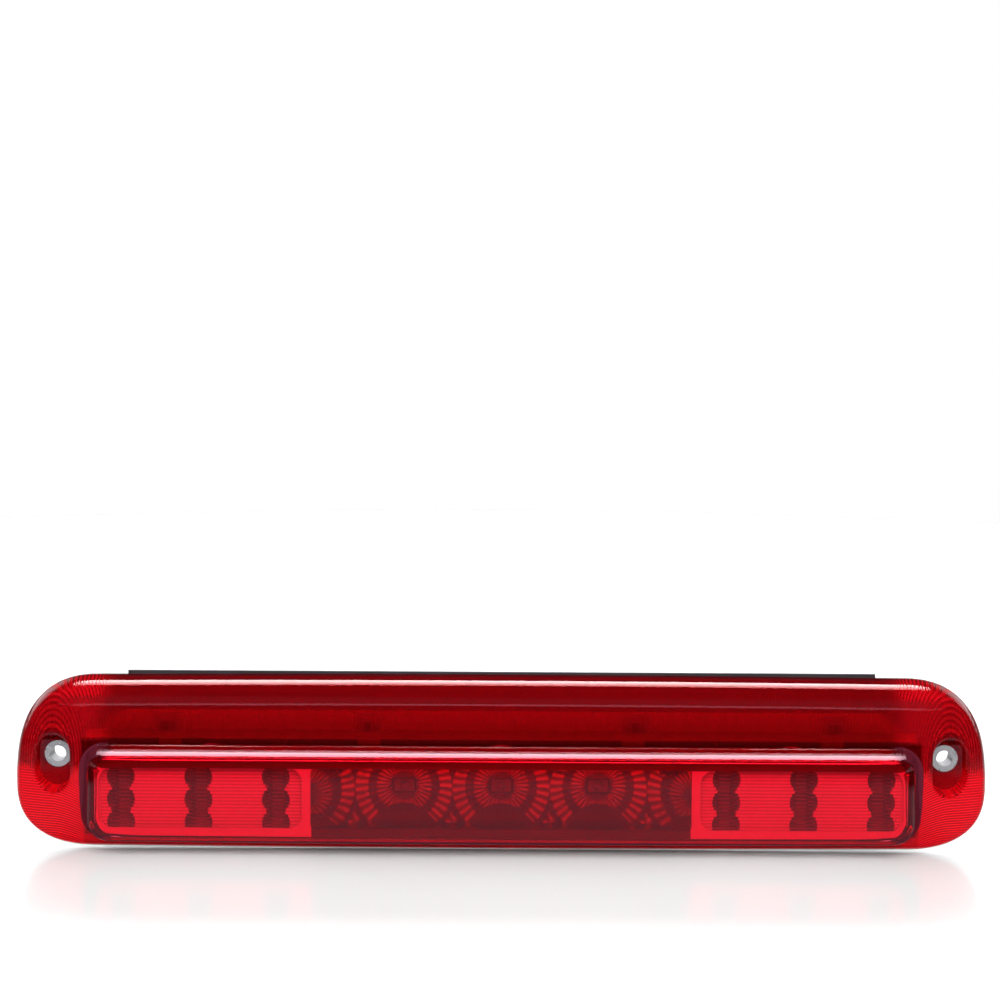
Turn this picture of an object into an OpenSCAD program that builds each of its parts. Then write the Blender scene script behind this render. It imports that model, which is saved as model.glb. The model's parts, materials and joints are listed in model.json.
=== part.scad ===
// High-mount third brake light with two cargo lamps, for the rear edge of a pickup cab roof.
// X runs along the lamp, the lens faces -Y and +Z is up. The origin is midway between the two
// screw holes, on the mounting plane. "Depth" means millimetres in front of that plane (-Y).

/* [Overall] */
// Half of the lamp's length
half_len = 220; // [218:0.5:224]
// Half of the straight stretch between the rounded ends
half_straight = 181; // [180:0.5:182]
// Height of the widest point of the rounded ends
waist_z = -14.5; // [-15.5:0.5:-13.5]
// Top edge of the lens rim where the rounded ends start
rim_top = 35.4; // [35:0.1:36]
// Bottom edge of the lens rim where the rounded ends start
rim_bottom = -43.4; // [-44:0.1:-43]
// How far the long edges bow outward at the middle
crown = 0.8; // [0:0.1:1.5]
// Distance between the two screw holes
hole_spacing = 400; // [396:1:402]

/* [Outer lens] */
// Wall of the red outer lens
lens_wall = 2.2; // [1.8:0.1:2.6]
// Depth of the lens rim's rear edge
rim_depth = 5; // [5:0.5:6]
// Depth of the frontmost line of the window
window_depth = 33; // [31:0.5:34]
// Top of the raised window's wall, at its foot
window_top = 7.3; // [7:0.1:7.6]
// Half length of the raised window at its foot
window_half = 187.5; // [187:0.1:188]
// How far the raised window's lower wall stands in from the rim
window_lower_in = 6.2; // [6:0.1:6.4]
// Width of the oblong wells that the screw heads sink into
well_w = 16; // [14:0.5:17]
// Height of the wells
well_h = 25; // [22:0.5:26]
// Depth of the wells' floors
well_floor = 10; // [9.5:0.5:11]

/* [Screw sleeves] */
// Bore radius of the steel sleeves
screw_r = 3.6; // [3.2:0.1:3.8]
// Outer radius of the sleeves
sleeve_r = 5; // [4.6:0.1:5.4]

/* [Housing] */
// Thickness of the foam gasket
gasket_t = 3; // [2:0.5:3]
// Wall of the housing
housing_wall = 2; // [1.6:0.1:2.4]
// Half length of the tub behind the mounting plane
tub_half = 180; // [178:0.5:182]
// Lowest edge of the tub
tub_bottom = -34; // [-35:0.5:-33]
// Highest edge of the tub
tub_top = 20; // [19:0.5:22]
// How far the tub reaches behind the mounting plane
tub_back = 18; // [17:0.5:20]
// How far the connector ports reach behind the mounting plane
port_back = 22; // [21.5:0.5:24]
// Bore radius of the connector ports
port_r = 8.25; // [8:0.05:8.5]
// Clear length of the ports' bores
port_len = 10; // [9:0.5:11]
// Distance from the middle port to the outer ports
port_pitch = 133; // [130:0.5:136]

/* [Windows and reflectors] */
// Depth of the inner bezel's front face
bezel_depth = 25.2; // [24.8:0.1:25.4]
// Top edge of the bezel's openings
opening_top = -3.2; // [-3.6:0.1:-3]
// Bottom edge of the bezel's openings
opening_bottom = -30.2; // [-30.4:0.1:-29.6]
// Half length of the middle opening, in front of the brake reflector
brake_half = 85; // [84:0.1:85.4]
// Inner edge of each cargo opening
cargo_in = 88.8; // [88.4:0.1:89.4]
// Outer edge of each cargo opening
cargo_out = 179.4; // [178.6:0.1:179.6]
// Distance between the axes of the three brake dishes
dish_pitch = 44; // [42:0.5:46]
// Focal length of the brake dishes
dish_focus = 21.5; // [21:0.5:24]
// Distance between the columns of light cups in a cargo unit
cup_pitch_x = 34.6; // [33.8:0.1:34.8]
// Distance between the cups of one column
cup_pitch_z = 10.3; // [10:0.1:11]
// Radius of a light cup
cup_r = 6.25; // [5.8:0.05:6.4]
// Pitch of the flutes on the cargo lenses
flute_pitch = 1.65; // [1.5:0.05:1.8]

/* [Hidden] */
LEFT = -1;
MIDDLE = 0;
RIGHT = 1;
FINE = 48;
SLIP = 0.05; // radial play between a sleeve, pin or stalk and its hole
EPS = 0.01;

// Outline: superelliptic quarter arcs joined by slightly bowed long edges.
top_power = 2.5;
bottom_power = 2.35;
arc_angles = [for (k = [0 : 12]) k * 7.5];
end_r = half_len - half_straight;
function crown_at(x) = crown * max(0, 1 - pow(x / half_straight, 2));
function past_straight(x) = max(0, abs(x) - half_straight);
function upper_half(x, inset = 0) = rim_top - waist_z + crown_at(x) - inset;
function lower_half(x, inset = 0) = waist_z - rim_bottom + crown_at(x) - inset;
function arc_share(x, power, inset = 0) =
    pow(max(0, 1 - pow(min(1, past_straight(x) / (end_r - inset)), power)), 1 / power);
function edge_top(x, inset = 0) = waist_z + upper_half(x, inset) * arc_share(x, top_power, inset);
function edge_bottom(x, inset = 0) =
    waist_z - lower_half(x, inset) * arc_share(x, bottom_power, inset);

// Stations along the quarter arcs, closest together where the end turns down.
function arc_station(a, inset) = half_straight + (end_r - inset) * sin(a);
function long_edge_x() = [for (k = [-4 : 4]) half_straight * k / 4.5];
function outline(inset = 0) = concat(
    [for (a = arc_angles) [-arc_station(90 - a, inset), edge_top(arc_station(90 - a, inset), inset)]],
    [for (x = long_edge_x()) [x, edge_top(x, inset)]],
    [for (a = arc_angles) [arc_station(a, inset), edge_top(arc_station(a, inset), inset)]],
    [for (a = arc_angles) if (a > 0)
        [arc_station(90 - a, inset), edge_bottom(arc_station(90 - a, inset), inset)]],
    [for (k = [len(long_edge_x()) - 1 : -1 : 0])
        [long_edge_x()[k], edge_bottom(long_edge_x()[k], inset)]],
    [for (a = arc_angles) if (a < 90)
        [-arc_station(a, inset), edge_bottom(arc_station(a, inset), inset)]]);

// Draws a flat shape, given in X and Z, from one depth to another.
module between(near, far) {
    rotate([90, 0, 0]) translate([0, 0, near]) linear_extrude(far - near) children();
}
module pin(x, z, near, far, r) {
    between(near, far) translate([x, z]) circle(r, $fn = FINE);
}
module block(x0, x1, z0, z1, near, far) {
    between(near, far) translate([x0, z0]) square([x1 - x0, z1 - z0]);
}
module round_rect(x0, x1, z0, z1, r) {
    translate([x0 + r, z0]) square([x1 - x0 - 2 * r, z1 - z0]);
    translate([x0, z0 + r]) square([x1 - x0, z1 - z0 - 2 * r]);
    for (x = [x0 + r, x1 - r]) for (z = [z0 + r, z1 - r]) translate([x, z]) circle(r, $fn = FINE);
}
module both_sides() {
    for (side = [LEFT, RIGHT]) scale([side, 1, 1]) children();
}

// ---- Outer lens ----
// The front surface is a pillow that rises from the rim, with the raised window on it.
rim_rise = 8.5; // how far the rim's wall rises before the slope begins
rim_slope = 4.3;
rim_blend = 6; // softness of the edge between the two
pillow_rise = 17;
pillow_reach = 30.4;
window_bow = 170; // twice the radius of the window's gentle bow
wall_foot = 22; // depth at which the window's top and side walls start
end_slope = 5; // of the window's top and bottom walls
side_slope = 2.1;
corner_slope = 6; // fall of the window's wall outside its rounded corners
window_corner = 9; // radius of the window's upper corners
window_low_corner = 13;
window_crest_z = -7;
lower_blend = 4; // softness of the window's edges, low down and at the top
upper_blend = 16;
blend_from_z = -8;
blend_over = 10;
foot_blend = 0.8; // softness where the window rises from the pillow

function soft_min(a, b, k) = min(a, b) - pow(max(0, k - abs(a - b)), 2) / (4 * k);
function soft_max(a, b, k) = max(a, b) + pow(max(0, k - abs(a - b)), 2) / (4 * k);
function edge_half(x, z, inset) = z >= waist_z ? upper_half(x, inset) : lower_half(x, inset);
function edge_power(z) = z >= waist_z ? top_power : bottom_power;
// 0 at the centre line and 1 on the outline
function reach(x, z, inset) = pow(pow(past_straight(x) / (end_r - inset), edge_power(z))
    + pow(abs(z - waist_z) / edge_half(x, z, inset), edge_power(z)), 1 / edge_power(z));
function from_edge(x, z, inset) = let (q = max(EPS, reach(x, z, inset)))
    max(0, norm([past_straight(x), z - waist_z]) * (1 / q - 1));
function pillow(d) = rim_depth
    + soft_min(rim_slope * d, rim_rise + pillow_rise * (1 - exp(-d / pillow_reach)), rim_blend);
function end_wall(t) = wall_foot + end_slope * t;
function side_wall(t) = wall_foot + side_slope * t;
function window_face(z) = window_depth - pow(z - window_crest_z, 2) / window_bow;
function edge_blend(z) = lower_blend
    + (upper_blend - lower_blend) * min(1, max(0, (z - blend_from_z) / blend_over));
// Distances a (from the side) and b (from the top or bottom) become one round a corner.
function corner_r(z) = z > waist_z ? window_corner : window_low_corner;
function in_corner(a, b, r) = a < r && b < r;
function corner_gap(a, b, r) = r - norm([r - a, r - b]);
function corner_turn(a, b, r) = pow(r - b, 2) / (pow(r - a, 2) + pow(r - b, 2));
function window(x, z, inset) = let (
    a = window_half - inset - abs(x),
    b = z > waist_z ? window_top - inset - z : z - edge_bottom(x, inset) - window_lower_in,
    r = corner_r(z),
    corner = in_corner(a, b, r),
    gap = corner ? corner_gap(a, b, r) : 0,
    turn = corner ? corner_turn(a, b, r) : 0,
    wall = corner ? side_wall(gap) * (1 - turn) + end_wall(gap) * turn + min(0, corner_slope * gap)
        : soft_min(side_wall(a), end_wall(b), 2))
    soft_min(wall, window_face(z), edge_blend(z));
function lens_surface(x, z, inset) = soft_max(pillow(from_edge(x, z, inset)),
    window(x, z, inset), foot_blend);

// Grid of the lens: columns along X, rows down from the top edge.
column_half = concat([for (k = [0 : 4]) 41 * k], [for (k = [1 : 9]) 164 + 2.8 * k],
    [for (a = [18 : 9 : 81]) half_straight + end_r * sin(a)], [half_len - EPS]);
columns = concat([for (k = [len(column_half) - 1 : -1 : 1]) -column_half[k]], column_half);
upper_rows = concat([0, 1.1, 1.8, 2.5, 3.3, 4.5, 7.5, 12, 19],
    [for (k = [-0.3, 0.5, 1.3, 2.4, 4, 7]) rim_top - window_top + k], [rim_top - waist_z]);
lower_rows = [0, 1.1, 1.8, 2.5, 3.3, 5, window_lower_in, 7.4, 9.5, 18];
function row_z(x, k, inset) = k < len(upper_rows)
    ? edge_top(x, inset) - upper_rows[k] * (edge_top(x, inset) - waist_z) / (rim_top - waist_z)
    : let (b = lower_rows[len(upper_rows) + len(lower_rows) - 1 - k])
      edge_bottom(x, inset) + b * (waist_z - edge_bottom(x, inset)) / (waist_z - rim_bottom);
function is_edge(c, k) = c == 0 || c == len(columns) - 1 || k == 0
    || k == len(upper_rows) + len(lower_rows) - 1;
rows_n = len(upper_rows) + len(lower_rows);
columns_n = len(columns);
function lens_grid(inset, drop) = [for (c = [0 : columns_n - 1]) for (k = [0 : rows_n - 1])
    let (x = columns[c] * (half_len - inset) / half_len, z = row_z(x, k, inset))
    [x, is_edge(c, k) ? -rim_depth : -max(rim_depth + EPS, lens_surface(x, z, inset) - drop), z]];
function grid_faces(first, flip) = [for (c = [0 : columns_n - 2]) for (k = [0 : rows_n - 2])
    let (a = first + c * rows_n + k, b = a + rows_n)
    each flip ? [[a, b + 1, b], [a, a + 1, b + 1]] : [[a, b, b + 1], [a, b + 1, a + 1]]];
edge_loop = concat([for (c = [0 : columns_n - 1]) c * rows_n],
    [for (k = [1 : rows_n - 1]) (columns_n - 1) * rows_n + k],
    [for (c = [columns_n - 2 : -1 : 0]) c * rows_n + rows_n - 1],
    [for (k = [rows_n - 2 : -1 : 1]) k]);
function rim_faces(inner) = [for (i = [0 : len(edge_loop) - 1])
    let (a = edge_loop[i], b = edge_loop[(i + 1) % len(edge_loop)])
    each [[b, a, inner + a], [b, inner + a, inner + b]]];

module lens_shell() {
    inner = columns_n * rows_n;
    polyhedron(concat(lens_grid(0, 0), lens_grid(lens_wall, 0.6 * lens_wall)),
        concat(grid_faces(0, false), grid_faces(inner, true), rim_faces(inner)));
}
module lens_solid() {
    back = [for (i = [len(edge_loop) - 1 : -1 : 0]) edge_loop[i]];
    polyhedron(lens_grid(0, 0), concat(grid_faces(0, false), [back]));
}
well_x = hole_spacing / 2 + 0.5;
well_z = -2;
module well_shape(grow = 0) {
    r = well_w / 2 + grow;
    rise = (well_h - well_w) / 2;
    for (z = [-rise, rise]) translate([well_x, well_z + z]) circle(r, $fn = FINE);
    translate([well_x - r, well_z - rise]) square([2 * r, 2 * rise]);
}
// The lens is one moulding. It is stored as a middle and two ends that meet at lens_split.
lens_split = 189;
module lens_moulding() {
    difference() {
        union() {
            lens_shell();
            intersection() {
                lens_solid();
                both_sides() between(well_floor - lens_wall, window_depth) well_shape(lens_wall);
            }
        }
        both_sides() between(well_floor, window_depth + 2) well_shape();
        both_sides() pin(hole_spacing / 2, 0, 0, well_floor + 1, sleeve_r + SLIP);
    }
}
module outer_lens() {
    color("#c8101c") resize([2 * lens_split, 0, 0]) intersection() {
        lens_moulding();
        block(-lens_split, lens_split, -half_len, half_len, 0, window_depth + 1);
    }
}
module lens_end(side) {
    color("#c8101c") resize([half_len - EPS - lens_split, 0, 0]) intersection() {
        lens_moulding();
        scale([side, 1, 1]) block(lens_split, half_len, -half_len, half_len, 0, window_depth + 1);
    }
}

// ---- Housing, seals and sleeves ----
flange_back = gasket_t;
tongue_in = 5;
tongue_t = 1.4;
tongue_h = 3;
ledge_half = 169;
ledge_h = 1;
boss_r = 3.4;
pilot_r = 1.2;
bezel_tab_x = [-150, -60, 60, 150];
bezel_tab_z = 11.5;
port_z = -9;
collar_wall = 2.2;
spigot_r = 7.5; // the wedge terminal's plug in the port's inner end
collar_end = port_back - port_len - 4;
vent_x = 66;
vent_hole_r = 2.5;
vent_boss_r = 6;
tub_corner = 10;
rib_t = 1.4;
tub_rib_x = 100;
tub_rib_back = 8;

module tub_shape(grow = 0) {
    round_rect(-tub_half - grow, tub_half + grow, tub_bottom - grow, tub_top + grow, tub_corner);
}
module collar_lugs() {
    for (turn = [90 : 120 : 330]) rotate([0, turn, 0])
        translate([port_r + collar_wall - 0.5, port_back - 2.5, -2]) cube([1.8, 1.5, 4]);
}
module port_places() {
    for (x = [-port_pitch, 0, port_pitch]) translate([x, 0, port_z]) children();
}
// The housing is one moulding too, stored as its flange and its tub.
module housing_flange() {
    color("#17171a") difference() {
        union() {
            // flange with the tongue that sits inside the lens rim
            between(flange_back, rim_depth) polygon(outline());
            between(rim_depth, rim_depth + tongue_h) difference() {
                polygon(outline(tongue_in));
                polygon(outline(tongue_in + tongue_t));
            }
            // straight ledge that shows above the lens rim
            between(flange_back, rim_depth) difference() {
                translate([-ledge_half, 0]) square([2 * ledge_half, rim_top + crown + ledge_h]);
                square([2 * half_len, 2 * (rim_top - 2)], center = true);
            }
            // bosses round the screw sleeves
            both_sides() pin(hole_spacing / 2, 0, flange_back, well_floor - lens_wall - SLIP,
                sleeve_r + 2);
        }
        between(0, rim_depth + 1) tub_shape();
        both_sides() pin(hole_spacing / 2, 0, 0, well_floor, sleeve_r + SLIP);
    }
}
module housing_tub() {
    color("#17171a") difference() {
        union() {
            between(-tub_back, rim_depth) tub_shape();
            port_places() {
                pin(0, 0, -port_back, -collar_end, port_r + collar_wall);
                collar_lugs();
            }
            pin(vent_x, port_z, -tub_back - 2, -tub_back, vent_boss_r);
        }
        // inside of the tub, round its bosses, ribs and collars
        difference() {
            between(-tub_back + housing_wall, rim_depth + EPS) tub_shape(-housing_wall);
            for (x = bezel_tab_x) pin(x, bezel_tab_z, -tub_back, rim_depth + 1, boss_r);
            for (x = bezel_tab_x)
                block(x - rib_t / 2, x + rib_t / 2, bezel_tab_z, tub_top, -tub_back, 0);
            for (x = [-tub_rib_x, tub_rib_x])
                block(x - rib_t / 2, x + rib_t / 2, tub_bottom, tub_top, -tub_back, -tub_rib_back);
            port_places() pin(0, 0, -port_back, -collar_end, port_r + collar_wall);
        }
        port_places() {
            pin(0, 0, -port_back - 1, -port_back + port_len, port_r);
            pin(0, 0, -port_back, 0, spigot_r + SLIP);
        }
        pin(vent_x, port_z, -tub_back - 3, rim_depth, vent_hole_r);
        for (x = bezel_tab_x) pin(x, bezel_tab_z, -8, rim_depth + 2, pilot_r);
    }
}
bead_in = 3.2;
module lens_sealant_bead() {
    color("#3a3a3c") between(rim_depth, rim_depth + 1.2) difference() {
        polygon(outline(bead_in));
        polygon(outline(tongue_in));
    }
}
module mounting_gasket() {
    color("#26262a") difference() {
        between(0, gasket_t) polygon(outline(2.5));
        between(-1, gasket_t + 1) tub_shape(1);
        both_sides() pin(hole_spacing / 2, 0, -1, gasket_t + 1, sleeve_r + 1.5);
    }
}
module screw_sleeve(side) {
    color("#c9ccd0") difference() {
        union() {
            pin(side * hole_spacing / 2, 0, 0, well_floor, sleeve_r);
            pin(side * hole_spacing / 2, 0, well_floor, well_floor + 0.8, sleeve_r + 1);
        }
        pin(side * hole_spacing / 2, 0, -1, well_floor + 2, screw_r);
    }
}

// ---- Bezel and reflectors ----
bezel_half = 181.4;
bezel_top = 3;
bezel_bottom = -34;
bezel_wall = 1.5;
bezel_back = 5.05;
bezel_corner = 10;
cargo_corner = 6;
module opening(x0, x1, r) {
    round_rect(x0, x1, opening_bottom, opening_top, r);
}
module inner_bezel() {
    color("#d5d8dc") difference() {
        union() {
            difference() {
                between(bezel_back, bezel_depth)
                    round_rect(-bezel_half, bezel_half, bezel_bottom, bezel_top, bezel_corner);
                between(bezel_back - 1, bezel_depth - bezel_wall)
                    round_rect(-bezel_half + bezel_wall, bezel_half - bezel_wall,
                        bezel_bottom + bezel_wall, bezel_top - bezel_wall,
                        bezel_corner - bezel_wall);
                between(0, bezel_depth + 1) opening(-brake_half, brake_half, 1.5);
                both_sides() between(0, bezel_depth + 1) opening(cargo_in, cargo_out, cargo_corner);
            }
            for (x = bezel_tab_x)
                block(x - 5, x + 5, bezel_top - 0.5, bezel_tab_z + 5, bezel_back, bezel_back + 1.6);
        }
        for (x = bezel_tab_x) pin(x, bezel_tab_z, rim_depth, bezel_back + 3, 1.7);
    }
}
dish_vertex = 4;
dish_wall = 1.6;
dish_z = -15;
reflector_front = bezel_depth - bezel_wall - 0.1;
reflector_grow = 1.2;
function dish_depth(r) = dish_vertex + r * r / (4 * dish_focus);
dish_radii = [0, 4, 11, 17, 23, 30, 42];
module dish(x, drop, grow) {
    translate([x, 0, dish_z]) rotate([90, 0, 0]) rotate_extrude($fn = FINE)
        polygon(concat([for (r = dish_radii) [r + grow, dish_depth(r) - drop]],
            [[0, dish_depth(dish_radii[6]) - drop]], [[0, dish_vertex - drop]]));
}
module dish_box(grow) {
    block(-brake_half - grow, brake_half + grow, opening_bottom - grow, opening_top + grow,
        0, reflector_front);
}
led_slot = [11, 7];
module brake_reflector() {
    color("#d0d3d8") difference() {
        intersection() {
            dish_box(reflector_grow);
            union() {
                for (x = [-dish_pitch, 0, dish_pitch]) dish(x, dish_wall, 1);
                difference() {
                    dish_box(reflector_grow);
                    block(-brake_half, brake_half, opening_bottom, opening_top,
                        -1, reflector_front + 1);
                    block(-brake_half - 5, brake_half + 5, opening_bottom - 5, opening_top + 5,
                        -1, dish_vertex + 3);
                }
                between(brake_board_front, reflector_front) brake_screw_places()
                    circle(post_r, $fn = FINE);
            }
        }
        intersection() {
            dish_box(0);
            for (x = [-dish_pitch, 0, dish_pitch]) dish(x, 0, 0);
        }
        block(-brake_half, brake_half, opening_bottom, opening_top,
            reflector_front - 0.4, reflector_front + 1);
        for (x = [-dish_pitch, 0, dish_pitch]) between(0, dish_vertex + 2) translate([x, dish_z])
            square(led_slot, center = true);
        between(0, brake_board_front + 5) brake_screw_places() circle(board_screw_r, $fn = FINE);
    }
}
cargo_mid = 135.2;
cup_mid_z = -18;
cargo_plate_front = bezel_depth - bezel_wall - 2;
cargo_plate_t = 1.6;
cargo_plate_grow = 2.2;
cup_margin = 0.6; // how far the cups run past the opening, above and below
cargo_board_front = 11;
cargo_cup_wall = 1.1;
post_r = 2.2;
post_z = [opening_bottom + 2.2, opening_top - 2.2];
module cup_columns(grow = 0) {
    intersection() {
        for (i = [-1 : 1]) for (k = [-1 : 1])
            translate([cargo_mid + i * cup_pitch_x, cup_mid_z + k * cup_pitch_z])
                circle(cup_r + grow, $fn = FINE);
        translate([cargo_in, opening_bottom - cup_margin - grow])
            square([cargo_out - cargo_in, opening_top - opening_bottom + 2 * (cup_margin + grow)]);
    }
}
module cargo_post_places() {
    for (i = [-0.5, 0.5]) for (z = post_z) translate([cargo_mid + i * cup_pitch_x, z]) children();
}
module cargo_plate_shape() {
    round_rect(cargo_in - 1, bezel_half - bezel_wall - 0.1, opening_bottom - cargo_plate_grow,
        opening_top + cargo_plate_grow, bezel_corner - bezel_wall - 0.1);
}
module cargo_reflector(side) {
    color("#d5d8dc") scale([side, 1, 1]) difference() {
        union() {
            between(cargo_plate_front - cargo_plate_t, cargo_plate_front) cargo_plate_shape();
            between(cargo_board_front, cargo_plate_front - EPS) intersection() {
                cup_columns(cargo_cup_wall);
                cargo_plate_shape();
            }
            between(cargo_board_front, cargo_plate_front - EPS) cargo_post_places()
                circle(post_r, $fn = FINE);
        }
        between(cargo_board_front - 1, cargo_plate_front + 1) cup_columns();
        between(cargo_board_front - 1, cargo_board_front + 6) cargo_post_places()
            circle(board_screw_r, $fn = FINE);
    }
}
flute_lens_back = cargo_plate_front;
flute_lens_front = bezel_depth - bezel_wall - 0.1;
flute_lens_grow = 1.2; // margin held behind the bezel
flute_h = 0.35;
flute_steps = 4;
function flute_profile() = let (n = floor((opening_top - opening_bottom) / flute_pitch))
    concat([[opening_bottom - flute_lens_grow, flute_lens_back]],
    [[opening_bottom - flute_lens_grow, flute_lens_front - flute_h]],
    [for (i = [0 : n - 1]) for (k = [0 : flute_steps])
        if (k < flute_steps || i == n - 1)
        [opening_bottom + flute_pitch * (i + k / flute_steps),
            flute_lens_front - flute_h + flute_h * sin(180 * k / flute_steps)]],
    [[opening_top + flute_lens_grow, flute_lens_front - flute_h]],
    [[opening_top + flute_lens_grow, flute_lens_back]]);
module fluted_lens(side) {
    color("#f2f4f6") scale([side, 1, 1]) intersection() {
        translate([cargo_in - flute_lens_grow, 0, 0]) rotate([90, 0, 90])
            linear_extrude(bezel_half - bezel_wall - cargo_in)
                polygon([for (p = flute_profile()) [-p[1], p[0]]]);
        between(flute_lens_back - 1, bezel_depth) cargo_plate_shape();
    }
}

// ---- Boards, light sources and their wiring ----
board_t = 1.6;
brake_board_front = 2.2;
brake_board_half = 81;
board_screw_r = 0.75;
lead_pair = 2.6;
brake_screw_x = 66;
module brake_screw_places() {
    for (x = [-brake_screw_x, brake_screw_x]) for (z = post_z) translate([x, z]) children();
}
module brake_led_board() {
    color("#1c1e1c") between(brake_board_front - board_t, brake_board_front) difference() {
        round_rect(-brake_board_half, brake_board_half, opening_bottom - 1, opening_top + 1, 2);
        brake_screw_places() circle(board_screw_r + 0.1, $fn = FINE);
        for (x = [-lead_pair, lead_pair]) translate([x, port_z]) circle(0.9, $fn = FINE);
    }
}
module cargo_led_board(side) {
    color("#1c1e1c") scale([side, 1, 1])
        between(cargo_board_front - board_t, cargo_board_front) difference() {
            round_rect(cargo_in + 1, cargo_out - 1, opening_bottom - 1, opening_top + 1, cargo_corner);
            cargo_post_places() circle(board_screw_r + 0.1, $fn = FINE);
            for (x = [-lead_pair, lead_pair]) translate([port_pitch + x, port_z])
                circle(0.9, $fn = FINE);
        }
}
led_base = [9, 5.4];
dome_r = 2;
module brake_leds() {
    color("#f5e9c8") for (x = [-dish_pitch, 0, dish_pitch]) {
        between(brake_board_front, brake_board_front + 1.6) translate([x, dish_z])
            square(led_base, center = true);
        pin(x, dish_z, brake_board_front + 1.6, brake_board_front + 3, dome_r);
        translate([x, -brake_board_front - 3, dish_z]) sphere(dome_r, $fn = FINE);
    }
}
chip = 5;
// The end chips sit a little closer in than their cups, to stay on the board.
function chip_z(k) = cup_mid_z + k * cup_pitch_z * 0.92;
module cargo_leds(side) {
    color("#f5e9c8") scale([side, 1, 1]) for (i = [-1 : 1]) for (k = [-1 : 1])
        translate([cargo_mid + i * cup_pitch_x, 0, chip_z(k)]) {
            block(-chip / 2, chip / 2, -chip / 2, chip / 2, cargo_board_front,
                cargo_board_front + 1.2);
            pin(0, 0, cargo_board_front + 1.2, cargo_board_front + 1.6, chip / 2 - 0.5);
        }
}
module chip_row(places, z, back) {
    for (x = places) block(x - 1.6, x + 1.6, z - 0.8, z + 0.8, back - 0.7, back);
}
brake_board_back = brake_board_front - board_t;
cargo_board_back = cargo_board_front - board_t;
module brake_resistors() {
    color("#1d1d1f") chip_row([-50, -38, -26, 26, 38, 50], -22, brake_board_back);
}
module cargo_resistors(side) {
    color("#1d1d1f") scale([side, 1, 1]) chip_row([105, 117, 149, 161], -22, cargo_board_back);
}
module brake_diode() {
    color("#2a2a2c") {
        block(12, 16.4, -12, -8, brake_board_back - 2.2, brake_board_back);
        pin(-15, -10, brake_board_back - 5, brake_board_back, 3);
    }
}
wedge_t = 2;
module wedge_terminal(place) {
    color("#e6e2d6") translate([place * port_pitch, 0, 0]) difference() {
        union() {
            pin(0, port_z, -collar_end + EPS, -collar_end + 2, port_r + collar_wall);
            pin(0, port_z, -collar_end - 1.5, -collar_end + EPS, spigot_r);
            block(-6, 6, port_z - wedge_t / 2, port_z + wedge_t / 2, -collar_end - 3.6,
                -collar_end - 1.5);
        }
        for (x = [-lead_pair, lead_pair]) pin(x, port_z, -collar_end, 0, 0.9);
    }
}
module terminal_contacts(place) {
    color("#c9a24a") for (x = [-3.6, 3.6]) for (side = [-1, 1])
        translate([place * port_pitch + x, 0, port_z + side * (wedge_t / 2 + 0.2)])
            block(-1.2, 1.2, -0.2, 0.2, -collar_end - 3.4, -collar_end - 1.5);
}
module leads(place) {
    front = place == MIDDLE ? brake_board_front : cargo_board_front;
    color("#b3261e") for (x = [-lead_pair, lead_pair])
        pin(place * port_pitch + x, port_z, -collar_end, front + 0.4, 0.9 - SLIP);
}

// ---- Fasteners and vent ----
module screw(x, z, head_near, shank_to, r, head_r, head_t) {
    pin(x, z, min(head_near, shank_to), max(head_near, shank_to), r);
    pin(x, z, min(head_near, head_near + head_t), max(head_near, head_near + head_t), head_r);
}
module board_screws() {
    color("#b9bcc0") {
        for (x = [-brake_screw_x, brake_screw_x]) for (z = post_z)
            screw(x, z, brake_board_back, brake_board_front + 3, board_screw_r, 1.6, -1);
        for (side = [LEFT, RIGHT]) for (i = [-0.5, 0.5]) for (z = post_z)
            screw(side * (cargo_mid + i * cup_pitch_x), z, cargo_board_back,
                cargo_board_front + 5, board_screw_r, 1.6, -1);
    }
}
module bezel_screws() {
    color("#b9bcc0") for (x = bezel_tab_x)
        screw(x, bezel_tab_z, bezel_back + 1.6, -4, pilot_r - 0.02, 2.8, 1.8);
}
module vent_cap() {
    color("#2b2b2e") difference() {
        pin(vent_x, port_z, -tub_back - 4.2, -tub_back, vent_boss_r + 1.4);
        pin(vent_x, port_z, -tub_back - 2.8, -tub_back + 1, vent_boss_r + SLIP);
        for (turn = [0, 90]) translate([vent_x, 0, port_z]) rotate([0, turn, 0])
            block(-20, 20, -1, 1, -tub_back - 1, -tub_back + 1);
    }
}
module vent_membrane() {
    color("#f4f4f2") pin(vent_x, port_z, -tub_back - 2.4, -tub_back - 2, vent_boss_r - 1);
}

outer_lens();
lens_end(LEFT);  // left_lens_end
lens_end(RIGHT);  // right_lens_end
housing_flange();
housing_tub();
lens_sealant_bead();
mounting_gasket();
screw_sleeve(LEFT);  // left_screw_sleeve
screw_sleeve(RIGHT);  // right_screw_sleeve
inner_bezel();
brake_reflector();
cargo_reflector(LEFT);  // left_cargo_reflector
cargo_reflector(RIGHT);  // right_cargo_reflector
fluted_lens(LEFT);  // left_fluted_lens
fluted_lens(RIGHT);  // right_fluted_lens
brake_led_board();
cargo_led_board(LEFT);  // left_cargo_led_board
cargo_led_board(RIGHT);  // right_cargo_led_board
brake_leds();
cargo_leds(LEFT);  // left_cargo_leds
cargo_leds(RIGHT);  // right_cargo_leds
brake_resistors();
cargo_resistors(LEFT);  // left_cargo_resistors
cargo_resistors(RIGHT);  // right_cargo_resistors
brake_diode();
wedge_terminal(LEFT);  // left_wedge_terminal
wedge_terminal(MIDDLE);  // brake_wedge_terminal
wedge_terminal(RIGHT);  // right_wedge_terminal
terminal_contacts(LEFT);  // left_terminal_contacts
terminal_contacts(MIDDLE);  // brake_terminal_contacts
terminal_contacts(RIGHT);  // right_terminal_contacts
leads(LEFT);  // left_leads
leads(MIDDLE);  // brake_leads
leads(RIGHT);  // right_leads
board_screws();
bezel_screws();
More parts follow.
